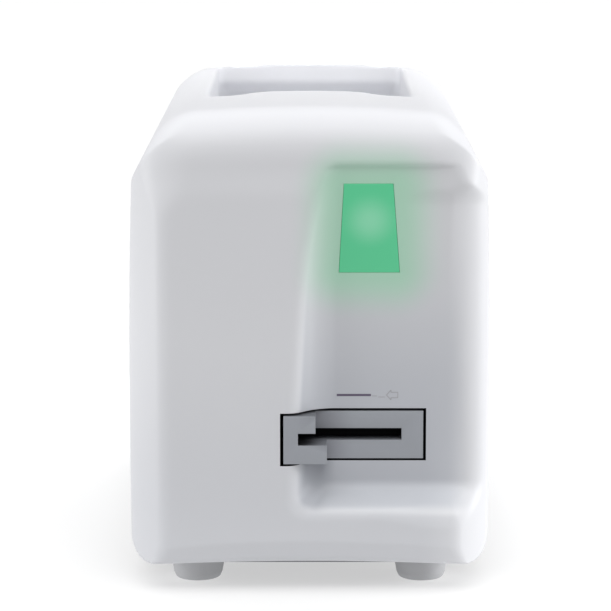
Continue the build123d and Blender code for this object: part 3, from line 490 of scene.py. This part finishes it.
bpy.context.scene.collection.objects.link(spot)


# =====================================================================================================
# Materials
# =====================================================================================================
def new_material(name):
    m = bpy.data.materials.new(name)
    m.use_nodes = True
    nt = m.node_tree
    return m, nt, nt.nodes["Principled BSDF"]


def node(nt, kind, **inputs):
    n = nt.nodes.new(kind)
    for k, v in inputs.items():
        n.inputs[k.replace("_", " ")].default_value = v
    return n


def textured(name, color, roughness, metallic=0.0, spread=0.03, grain=900.0, bump=0.08, rough_spread=0.06, streak=None, wear=0.0, wear_color=None, coat=0.0, specular=0.5):
    """A moulded, painted or machined surface: slow colour change, fine grain in bump and roughness, lighter worn edges."""
    m, nt, p = new_material(name)
    link = nt.links.new
    coord = nt.nodes.new("ShaderNodeTexCoord")
    slow = node(nt, "ShaderNodeTexNoise", Scale=14.0, Detail=4.0, Roughness=0.55)
    link(coord.outputs["Object"], slow.inputs["Vector"])
    fine = node(nt, "ShaderNodeTexNoise", Scale=grain, Detail=2.0, Roughness=0.6)
    if streak:
        mapping = nt.nodes.new("ShaderNodeMapping")
        mapping.inputs["Scale"].default_value = streak
        link(coord.outputs["Object"], mapping.inputs["Vector"])
        link(mapping.outputs["Vector"], fine.inputs["Vector"])
    else:
        link(coord.outputs["Object"], fine.inputs["Vector"])
    mix = nt.nodes.new("ShaderNodeMix")
    mix.data_type = "RGBA"
    lo = tuple(max(0.0, c * (1 - spread)) for c in color[:3]) + (1.0,)
    hi = tuple(min(1.0, c * (1 + spread)) for c in color[:3]) + (1.0,)
    mix.inputs[6].default_value, mix.inputs[7].default_value = lo, hi
    link(slow.outputs["Fac"], mix.inputs[0])
    out = mix.outputs[2]
    if wear:
        geo = nt.nodes.new("ShaderNodeNewGeometry")
        level = node(nt, "ShaderNodeMapRange")
        level.inputs["From Min"].default_value, level.inputs["From Max"].default_value = 0.53, 0.62
        level.inputs["To Max"].default_value = wear
        link(geo.outputs["Pointiness"], level.inputs["Value"])
        edge = nt.nodes.new("ShaderNodeMix")
        edge.data_type = "RGBA"
        edge.inputs[7].default_value = tuple(wear_color or [min(1.0, c * 1.25 + 0.03) for c in color[:3]]) + (1.0,)
        link(out, edge.inputs[6])
        link(level.outputs["Result"], edge.inputs[0])
        out = edge.outputs[2]
    link(out, p.inputs["Base Color"])
    rr = node(nt, "ShaderNodeMapRange")
    rr.inputs["To Min"].default_value, rr.inputs["To Max"].default_value = roughness - rough_spread, roughness + rough_spread
    link(fine.outputs["Fac"], rr.inputs["Value"])
    link(rr.outputs["Result"], p.inputs["Roughness"])
    b = node(nt, "ShaderNodeBump", Strength=bump, Distance=0.0002)
    link(fine.outputs["Fac"], b.inputs["Height"])
    link(b.outputs["Normal"], p.inputs["Normal"])
    p.inputs["Metallic"].default_value = metallic
    p.inputs["Coat Weight"].default_value = coat
    p.inputs["Specular IOR Level"].default_value = specular
    return m


def paint_window_light(m):
    """Painted light round the lit window: the shell's colour is mixed toward green and given a faint green glow, both
    fading with distance.
    """
    nt = m.node_tree
    link = nt.links.new
    p = nt.nodes["Principled BSDF"]
    base = p.inputs["Base Color"].links[0].from_socket
    xyz = nt.nodes.new("ShaderNodeSeparateXYZ")
    link(nt.nodes.new("ShaderNodeTexCoord").outputs["Object"], xyz.inputs[0])

    def math_node(op, a, b=None):
        n = nt.nodes.new("ShaderNodeMath")
        n.operation = op
        link(a, n.inputs[0])
        if b is not None:
            n.inputs[1].default_value = b
        return n.outputs[0]

    def outside(socket, centre, half):
        return math_node("MAXIMUM", math_node("SUBTRACT", math_node("ABSOLUTE", math_node("SUBTRACT", socket, centre)), half), 0.0)

    joined = nt.nodes.new("ShaderNodeCombineXYZ")
    link(outside(xyz.outputs[0], 0.0318, 0.0130), joined.inputs[0])
    link(outside(xyz.outputs[2], 0.2000, 0.0225), joined.inputs[1])
    length = nt.nodes.new("ShaderNodeVectorMath")
    length.operation = "LENGTH"
    link(joined.outputs[0], length.inputs[0])
    near = node(nt, "ShaderNodeMapRange")
    near.interpolation_type = "SMOOTHERSTEP"
    near.inputs["From Min"].default_value, near.inputs["From Max"].default_value = 0.0, 0.033
    near.inputs["To Min"].default_value, near.inputs["To Max"].default_value = 1.0, 0.0
    link(length.outputs["Value"], near.inputs["Value"])
    front = node(nt, "ShaderNodeMapRange")
    front.inputs["From Min"].default_value, front.inputs["From Max"].default_value = -0.150, -0.142
    front.inputs["To Min"].default_value, front.inputs["To Max"].default_value = 1.0, 0.0
    link(xyz.outputs[1], front.inputs["Value"])
    both = nt.nodes.new("ShaderNodeMath")
    both.operation = "MULTIPLY"
    link(near.outputs["Result"], both.inputs[0])
    link(front.outputs["Result"], both.inputs[1])
    factor = math_node("MULTIPLY", both.outputs[0], 0.76)
    # painted green light mixed into the shell's colour round the window
    mix = nt.nodes.new("ShaderNodeMix")
    mix.data_type = "RGBA"
    mix.inputs[7].default_value = (0.34, 0.62, 0.44, 1.0)
    link(factor, mix.inputs[0])
    link(base, mix.inputs[6])
    link(mix.outputs[2], p.inputs["Base Color"])
    # painted glow: faint green emission on the shell round the window
    glow = nt.nodes.new("ShaderNodeMix")
    glow.data_type = "RGBA"
    glow.inputs[6].default_value = (0.0, 0.0, 0.0, 1.0)
    glow.inputs[7].default_value = (0.0, 0.022, 0.010, 1.0)
    link(both.outputs[0], glow.inputs[0])
    link(glow.outputs[2], p.inputs["Emission Color"])
    p.inputs["Emission Strength"].default_value = 1.0


def paint_front_shade(m):
    """Painted shade on the front: the recessed field is darker than the face round it, most of all in its lower left
    corner under the bezel's left jaw; the lower front darkens towards the bottom, and the ledge is lightened back.
    """
    nt = m.node_tree
    link = nt.links.new
    p = nt.nodes["Principled BSDF"]
    base = p.inputs["Base Color"].links[0].from_socket
    xyz = nt.nodes.new("ShaderNodeSeparateXYZ")
    link(nt.nodes.new("ShaderNodeTexCoord").outputs["Object"], xyz.inputs[0])

    def band(axis, a, b, up=True):
        n = node(nt, "ShaderNodeMapRange")
        n.interpolation_type = "SMOOTHSTEP"
        n.inputs["From Min"].default_value, n.inputs["From Max"].default_value = a * S, b * S
        n.inputs["To Min"].default_value, n.inputs["To Max"].default_value = (0.0, 1.0) if up else (1.0, 0.0)
        link(xyz.outputs[axis], n.inputs["Value"])
        return n.outputs["Result"]

    def product(*sockets):
        out = sockets[0]
        for other in sockets[1:]:
            n = nt.nodes.new("ShaderNodeMath")
            n.operation = "MULTIPLY"
            link(out, n.inputs[0])
            link(other, n.inputs[1])
            out = n.outputs[0]
        return out

    def darker(factor, color):
        nonlocal base
        mix = nt.nodes.new("ShaderNodeMix")
        mix.data_type, mix.blend_type = "RGBA", "MULTIPLY"
        mix.inputs[7].default_value = color + (1.0,)
        link(factor, mix.inputs[0])
        link(base, mix.inputs[6])
        base = mix.outputs[2]

    # painted shade: the recessed field darkened, fading out upward
    field = (band(1, F + 1.2, F + 5.0), band(1, F + 18.0, F + 24.0, False), band(0, 74.0, 90.0, False), band(0, -9.0, -3.0))
    darker(product(*field, band(2, 44.0, 50.0), band(2, 95.0, 210.0, False)), (0.77, 0.785, 0.81))
    # painted shade: the lower front darkened towards the bottom
    darker(product(band(1, F + 30.0, F + 60.0, False), band(0, 60.0, 85.0, False), band(2, 40.0, 150.0, False)), (0.88, 0.885, 0.895))
    # painted shade: the lower left corner of the recess, under the bezel's left jaw, darkened further
    corner = (band(0, 6.0, 15.0, False), band(0, -7.0, -1.0), band(2, 48.0, 71.0), band(2, 78.0, 84.0, False))
    darker(product(*corner, band(1, F + 2.0, F + 8.0)), (0.60, 0.61, 0.63))
    # painted light: the ledge lightened, taking back the painted shade of the lower front
    ledge = (band(1, F + 0.5, F + 3.0), band(1, F + 17.0, F + 20.0, False), band(0, 74.0, 90.0, False), band(0, 2.0, 12.0))
    darker(product(*ledge, band(2, 41.5, 45.0), band(2, 57.0, 61.0, False)), (1.13, 1.13, 1.12))
    link(base, p.inputs["Base Color"])


def lens_material():
    """Lit lens: green all over, paler round the lamp behind it, with a fine diffusing grain."""
    m = textured("window_lens", (0.045, 0.24, 0.125), 0.32, spread=0.04, grain=1800.0, bump=0.04, coat=0.25)
    nt = m.node_tree
    p = nt.nodes["Principled BSDF"]
    away = nt.nodes.new("ShaderNodeVectorMath")
    away.operation = "DISTANCE"
    away.inputs[1].default_value = (0.0325, -0.1690, 0.2040)
    nt.links.new(nt.nodes.new("ShaderNodeTexCoord").outputs["Object"], away.inputs[0])
    near = node(nt, "ShaderNodeMapRange")
    near.interpolation_type = "SMOOTHSTEP"
    near.inputs["From Min"].default_value, near.inputs["From Max"].default_value = 0.001, 0.017
    near.inputs["To Min"].default_value, near.inputs["To Max"].default_value = 1.0, 0.0
    nt.links.new(away.outputs["Value"], near.inputs["Value"])
    mix = nt.nodes.new("ShaderNodeMix")
    mix.data_type = "RGBA"
    mix.inputs[6].default_value = (0.045, 0.30, 0.145, 1.0)
    mix.inputs[7].default_value = (0.160, 0.37, 0.250, 1.0)
    nt.links.new(near.outputs["Result"], mix.inputs[0])
    nt.links.new(mix.outputs[2], p.inputs["Emission Color"])
    p.inputs["Emission Strength"].default_value = 1.0
    return m


def see_through(m, ior, weight):
    p = m.node_tree.nodes["Principled BSDF"]
    p.inputs["IOR"].default_value = ior
    p.inputs["Transmission Weight"].default_value = weight
    return m


TURNED = (1.0, 1.0, 60.0)
GROUND = (1.0, 40.0, 1.0)
SHEET = (50.0, 1.0, 1.0)
MAT = {
    "shell_plastic": textured("shell_plastic", (0.645, 0.65, 0.675), 0.42, spread=0.012, grain=1400.0, bump=0.05, wear=0.25, specular=0.4),
    "tray_plastic": textured("tray_plastic", (0.17, 0.175, 0.19), 0.5, spread=0.05, bump=0.12, wear=0.2),
    "bezel_plastic": textured("bezel_plastic", (0.225, 0.236, 0.260), 0.46, spread=0.025, grain=1300.0, bump=0.08, wear=0.4, wear_color=(0.42, 0.44, 0.48)),
    "window_lens": lens_material(),
    "light_guide_acrylic": see_through(textured("light_guide_acrylic", (0.85, 0.88, 0.88), 0.12, spread=0.01, bump=0.02, rough_spread=0.04), 1.49, 0.7),
    "circuit_board": textured("circuit_board", (0.03, 0.20, 0.09), 0.38, spread=0.18, grain=420.0, bump=0.25, coat=0.3),
    "foot_rubber": textured("foot_rubber", (0.47, 0.475, 0.49), 0.72, spread=0.06, grain=1100.0, bump=0.25, wear=0.3, wear_color=(0.5, 0.5, 0.51), specular=0.3),
    "screw_steel": textured("screw_steel", (0.55, 0.55, 0.56), 0.36, metallic=1.0, spread=0.06, grain=700.0, bump=0.12, streak=TURNED, wear=0.4),
    "ground_steel": textured("ground_steel", (0.62, 0.62, 0.63), 0.22, metallic=1.0, spread=0.04, grain=900.0, bump=0.08, streak=GROUND, wear=0.2),
    "black_plastic": textured("black_plastic", (0.014, 0.014, 0.015), 0.5, spread=0.12, grain=1200.0, bump=0.15, wear=0.35, wear_color=(0.075, 0.075, 0.08)),
    "spring_steel": textured("spring_steel", (0.45, 0.45, 0.46), 0.3, metallic=1.0, spread=0.07, bump=0.1, wear=0.2),
    "zinc_plate": textured("zinc_plate", (0.62, 0.63, 0.60), 0.4, metallic=1.0, spread=0.09, grain=260.0, bump=0.1, streak=SHEET, wear=0.25),
    "machined_aluminium": textured("machined_aluminium", (0.72, 0.73, 0.74), 0.33, metallic=1.0, spread=0.04, grain=520.0, bump=0.16, streak=SHEET, wear=0.3),
    "motor_black": textured("motor_black", (0.04, 0.04, 0.045), 0.4, metallic=0.3, spread=0.1, grain=600.0, bump=0.2, streak=TURNED, wear=0.5, wear_color=(0.2, 0.2, 0.21)),
    "bronze": textured("bronze", (0.62, 0.45, 0.20), 0.32, metallic=1.0, spread=0.08, grain=700.0, bump=0.12, wear=0.3),
    "white_acetal": textured("white_acetal", (0.82, 0.82, 0.79), 0.36, spread=0.02, grain=900.0, bump=0.08, wear=0.1),
    "black_anodised": textured("black_anodised", (0.04, 0.04, 0.045), 0.42, metallic=0.6, spread=0.12, grain=800.0, bump=0.14, streak=SHEET, wear=0.5, wear_color=(0.3, 0.3, 0.31)),
    "mirror_face": textured("mirror_face", (0.88, 0.89, 0.90), 0.05, metallic=1.0, spread=0.01, bump=0.01, rough_spread=0.02),
    "optical_glass": see_through(textured("optical_glass", (0.80, 0.86, 0.88), 0.05, spread=0.01, bump=0.01, rough_spread=0.02), 1.52, 0.8),
    "perforated_case": textured("perforated_case", (0.58, 0.59, 0.60), 0.42, metallic=1.0, spread=0.07, grain=300.0, bump=0.12, wear=0.25),
    "panel_plastic": textured("panel_plastic", (0.46, 0.47, 0.50), 0.48, spread=0.02, grain=1000.0, bump=0.16, wear=0.3),
    "nickel_pins": textured("nickel_pins", (0.66, 0.65, 0.62), 0.26, metallic=1.0, spread=0.05, grain=800.0, bump=0.08, streak=GROUND, wear=0.3),
    "fuse_glass": see_through(textured("fuse_glass", (0.85, 0.88, 0.86), 0.06, spread=0.01, bump=0.01, rough_spread=0.03), 1.5, 0.7),
    "rocker_plastic": textured("rocker_plastic", (0.02, 0.02, 0.022), 0.2, spread=0.1, grain=1500.0, bump=0.05, wear=0.4, wear_color=(0.08, 0.08, 0.085), coat=0.4),
    "chrome_wire": textured("chrome_wire", (0.75, 0.75, 0.76), 0.14, metallic=1.0, spread=0.03, grain=900.0, bump=0.05, wear=0.2),
}
# painted shade on the front and painted green light round the window, both put into the shell's colour
paint_front_shade(MAT["shell_plastic"])
paint_window_light(MAT["shell_plastic"])
SLOT = {row["node"]: row["material_slot"] for row in frame["record"]["subparts"]}
missing = sorted(set(SLOT.values()) - set(MAT))
if missing:
    raise SystemExit("no material for slots: " + ", ".join(missing))


# =====================================================================================================
# Pieces made again with softened edges, each where its CAD node is
# =====================================================================================================
def edged(name, body, width, segments=3):
    """The node's own shape with its sharp edges rounded."""
    src = frame["nodes"][name]
    o = bpy.data.objects.new(name + "_shaped", src.data.copy())
    bpy.context.scene.collection.objects.link(o)
    o.matrix_world = src.matrix_world.copy()
    bm = bmesh.new()
    bm.from_mesh(o.data)
    bmesh.ops.remove_doubles(bm, verts=bm.verts, dist=2e-6)
    bmesh.ops.dissolve_limit(bm, angle_limit=math.radians(1.0), verts=bm.verts, edges=bm.edges)
    bm.to_mesh(o.data)
    bm.free()
    bevel(o, width, segments, 40.0)
    o.data.materials.clear()
    o.data.materials.append(MAT[SLOT[name]])
    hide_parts(name)
    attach(o, body)
    return o


def jaw_material(name, axis, a, b, near, far):
    """The bezel's plastic where it turns away from the light: it darkens into the slot or the gap."""
    m = textured(name, near, 0.5, spread=0.03, grain=1300.0, bump=0.08, specular=0.3)
    nt = m.node_tree
    p = nt.nodes["Principled BSDF"]
    base = p.inputs["Base Color"].links[0].from_socket
    xyz = nt.nodes.new("ShaderNodeSeparateXYZ")
    nt.links.new(nt.nodes.new("ShaderNodeTexCoord").outputs["Object"], xyz.inputs[0])
    n = node(nt, "ShaderNodeMapRange")
    n.interpolation_type = "SMOOTHSTEP"
    n.inputs["From Min"].default_value, n.inputs["From Max"].default_value = a * S, b * S
    nt.links.new(xyz.outputs[axis], n.inputs["Value"])
    mix = nt.nodes.new("ShaderNodeMix")
    mix.data_type = "RGBA"
    mix.inputs[7].default_value = far + (1.0,)
    nt.links.new(n.outputs["Result"], mix.inputs[0])
    nt.links.new(base, mix.inputs[6])
    nt.links.new(mix.outputs[2], p.inputs["Base Color"])
    return m


def shaded_beside_jaws(m):
    """The set-back face of the bezel is darker next to the jaws, which stand between it and the light."""
    nt = m.node_tree
    p = nt.nodes["Principled BSDF"]
    base = p.inputs["Base Color"].links[0].from_socket
    xyz = nt.nodes.new("ShaderNodeSeparateXYZ")
    nt.links.new(nt.nodes.new("ShaderNodeTexCoord").outputs["Object"], xyz.inputs[0])
    both = nt.nodes.new("ShaderNodeMath")
    both.operation = "MULTIPLY"
    for k, (axis, a, b, lo, hi) in enumerate(((0, 6.0, 26.0, 1.0, 0.0), (1, F + 9.0, F + 12.0, 0.0, 1.0))):
        n = node(nt, "ShaderNodeMapRange")
        n.interpolation_type = "SMOOTHSTEP"
        n.inputs["From Min"].default_value, n.inputs["From Max"].default_value = a * S, b * S
        n.inputs["To Min"].default_value, n.inputs["To Max"].default_value = lo, hi
        nt.links.new(xyz.outputs[axis], n.inputs["Value"])
        nt.links.new(n.outputs["Result"], both.inputs[k])
    mix = nt.nodes.new("ShaderNodeMix")
    mix.data_type, mix.blend_type = "RGBA", "MULTIPLY"
    mix.inputs[7].default_value = (0.70, 0.69, 0.70, 1.0)
    nt.links.new(both.outputs[0], mix.inputs[0])
    nt.links.new(base, mix.inputs[6])
    nt.links.new(mix.outputs[2], p.inputs["Base Color"])


shaded_beside_jaws(MAT["bezel_plastic"])
bezel = edged("slot_bezel", "casing", 0.6)
# painted shadow: a near-black copy of the bezel's plastic for its faces deep in the gap and the slot, where there is
# only shade
bezel.data.materials.append(textured("bezel_painted_shadow", (0.004, 0.004, 0.0045), 0.75, spread=0.1, grain=1200.0, bump=0.1, specular=0.05))
bezel.data.materials.append(jaw_material("bezel_jaw_floor", 0, 9.2, -6.0, (0.155, 0.162, 0.18), (0.012, 0.012, 0.013)))
bezel.data.materials.append(jaw_material("bezel_jaw_top", 0, -40.0, -39.0, (0.13, 0.137, 0.15), (0.13, 0.137, 0.15)))
# faces behind the recess floor, on the bezel's outer rim and in the slot's mouth take the painted shadow; upward faces
# of the jaws take the jaw materials
for face in bezel.data.polygons:
    c, n = face.center / S, face.normal
    behind = c.y > F + RECESS + 0.9
    rim = (c.x < BEZ_X0 + 0.05 or c.x > BEZ_X1 - 0.05 or c.z < BEZ_Z0 + 0.05) and abs(n.y) < 0.2
    mouth = SLOT_X0 - 0.1 < c.x < SLOT_X1 + 0.1 and SLOT_Z0 - 0.1 < c.z < SLOT_Z1 + 0.1 and c.y > F + RECESS + 0.6
    if behind or rim or mouth:
        face.material_index = 1
    elif n.z > 0.7 and abs(c.z - SLOT_Z0) < 0.3:
        face.material_index = 2
    elif n.z > 0.7 and c.z > BEZ_Z1 - 0.3:
        face.material_index = 3
edged("status_window", "casing", 0.3)

hood.data.materials.clear()
hood.data.materials.append(MAT["shell_plastic"])
# painted shadow: the hood's cut walls round the bezel take the bezel's near-black material
hood.data.materials.append(bezel.data.materials[1])
for face in hood.data.polygons:
    c, n = face.center / S, face.normal
    in_gap = BEZ_X0 - 2.1 < c.x < BEZ_X1 + 1.9 and BEZ_Z0 - 1.4 < c.z < BEZ_Z1 + 1.7 and F + 0.5 < c.y < F + 26.0
    face.material_index = 1 if in_gap and abs(n.y) < 0.3 else 0
REBUILT = {"hood", "slot_bezel", "status_window"}
# the shutter inside the slot: black plastic, made darker and duller than the other black plastic as painted shade of
# the deep slot
shutter_black_and_shade = textured("shutter_black_and_shade", (0.006, 0.006, 0.007), 0.8, spread=0.15, grain=900.0, bump=0.2, specular=0.08)
for name, slot_name in SLOT.items():
    if name in REBUILT:
        continue
    o = frame["nodes"][name]
    if name == "slot_shutter":
        o.data.materials.clear()
        o.data.materials.append(shutter_black_and_shade)
        continue
    if len(o.material_slots) == 0:
        o.data.materials.append(MAT[slot_name])
    for holder in o.material_slots:
        holder.material = MAT[slot_name]


# =====================================================================================================
# Printed mark over the slot: a line, a thinner one after it and an open arrow, lying on the recess floor
# =====================================================================================================
def floor_y(x, z):
    """Where the recess floor stands at (x, z)."""
    lo, hi = F - 2.0, F + 24.0
    for _ in range(30):
        mid = (lo + hi) / 2
        if float(casing_field(np.array([x]), np.array([mid]), np.array([z]))[0]) < 0:
            hi = mid
        else:
            lo = mid
    return (lo + hi) / 2


def printed(name, shapes, color):
    parts = []
    for shape in shapes:
        n = len(shape)
        verts = [(x, floor_y(x, z) - 0.06, z) for x, z in shape] + [(x, floor_y(x, z) + 0.4, z) for x, z in shape]
        faces = [tuple(range(n))[::-1], tuple(range(n, 2 * n))] + [(i, (i + 1) % n, n + (i + 1) % n, n + i) for i in range(n)]
        parts.append((verts, faces))
    o = solid(name, *parts)
    o.data.materials.append(textured(name, color, 0.5, spread=0.06, grain=1500.0, bump=0.04))
    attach(o, "casing")
    return o


def strip(x0, x1, z, half):
    return [(x0, z - half), (x1, z - half), (x1, z + half), (x0, z + half)]


def stroke(ax, az, bx, bz, half):
    L = math.hypot(bx - ax, bz - az)
    ox, oz = -(bz - az) / L * half, (bx - ax) / L * half
    return [(ax - ox, az - oz), (bx - ox, bz - oz), (bx + ox, bz + oz), (ax + ox, az + oz)]


printed("mark_line", [strip(14.8, 33.4, 107.5, 0.62)], (0.115, 0.095, 0.145))
_arrow = [(41.8, 107.5), (44.3, 110.2), (44.3, 109.0), (48.0, 109.0), (48.0, 106.0), (44.3, 106.0), (44.3, 104.8)]
printed(
    "mark_arrow",
    [strip(34.0, 36.6, 107.0, 0.22), strip(37.4, 41.0, 106.4, 0.22)]
    + [stroke(*a, *b, 0.24) for a, b in zip(_arrow, _arrow[1:] + _arrow[:1])],
    (0.375, 0.375, 0.40),
)

floor_mat, _nt, _p = new_material("floor_white")
_p.inputs["Roughness"].default_value = 0.9
_p.inputs["Specular IOR Level"].default_value = 0.2
_p.inputs["Emission Strength"].default_value = 0.51
_xyz = _nt.nodes.new("ShaderNodeSeparateXYZ")
_nt.links.new(_nt.nodes.new("ShaderNodeTexCoord").outputs["Object"], _xyz.inputs[0])
_fade = node(_nt, "ShaderNodeMapRange")
_fade.interpolation_type = "SMOOTHSTEP"
_fade.inputs["From Min"].default_value, _fade.inputs["From Max"].default_value = -0.45, -0.17
_nt.links.new(_xyz.outputs[1], _fade.inputs["Value"])
for _socket, _pale, _white in (("Base Color", 0.26, 0.42), ("Emission Color", 0.28, 1.0)):
    _mix = _nt.nodes.new("ShaderNodeMix")
    _mix.data_type = "RGBA"
    _mix.inputs[6].default_value = (_pale, _pale, _pale, 1.0)
    _mix.inputs[7].default_value = (_white, _white, _white, 1.0)
    _nt.links.new(_fade.outputs["Result"], _mix.inputs[0])
    _nt.links.new(_mix.outputs[2], _p.inputs[_socket])
floor_me.materials.append(floor_mat)
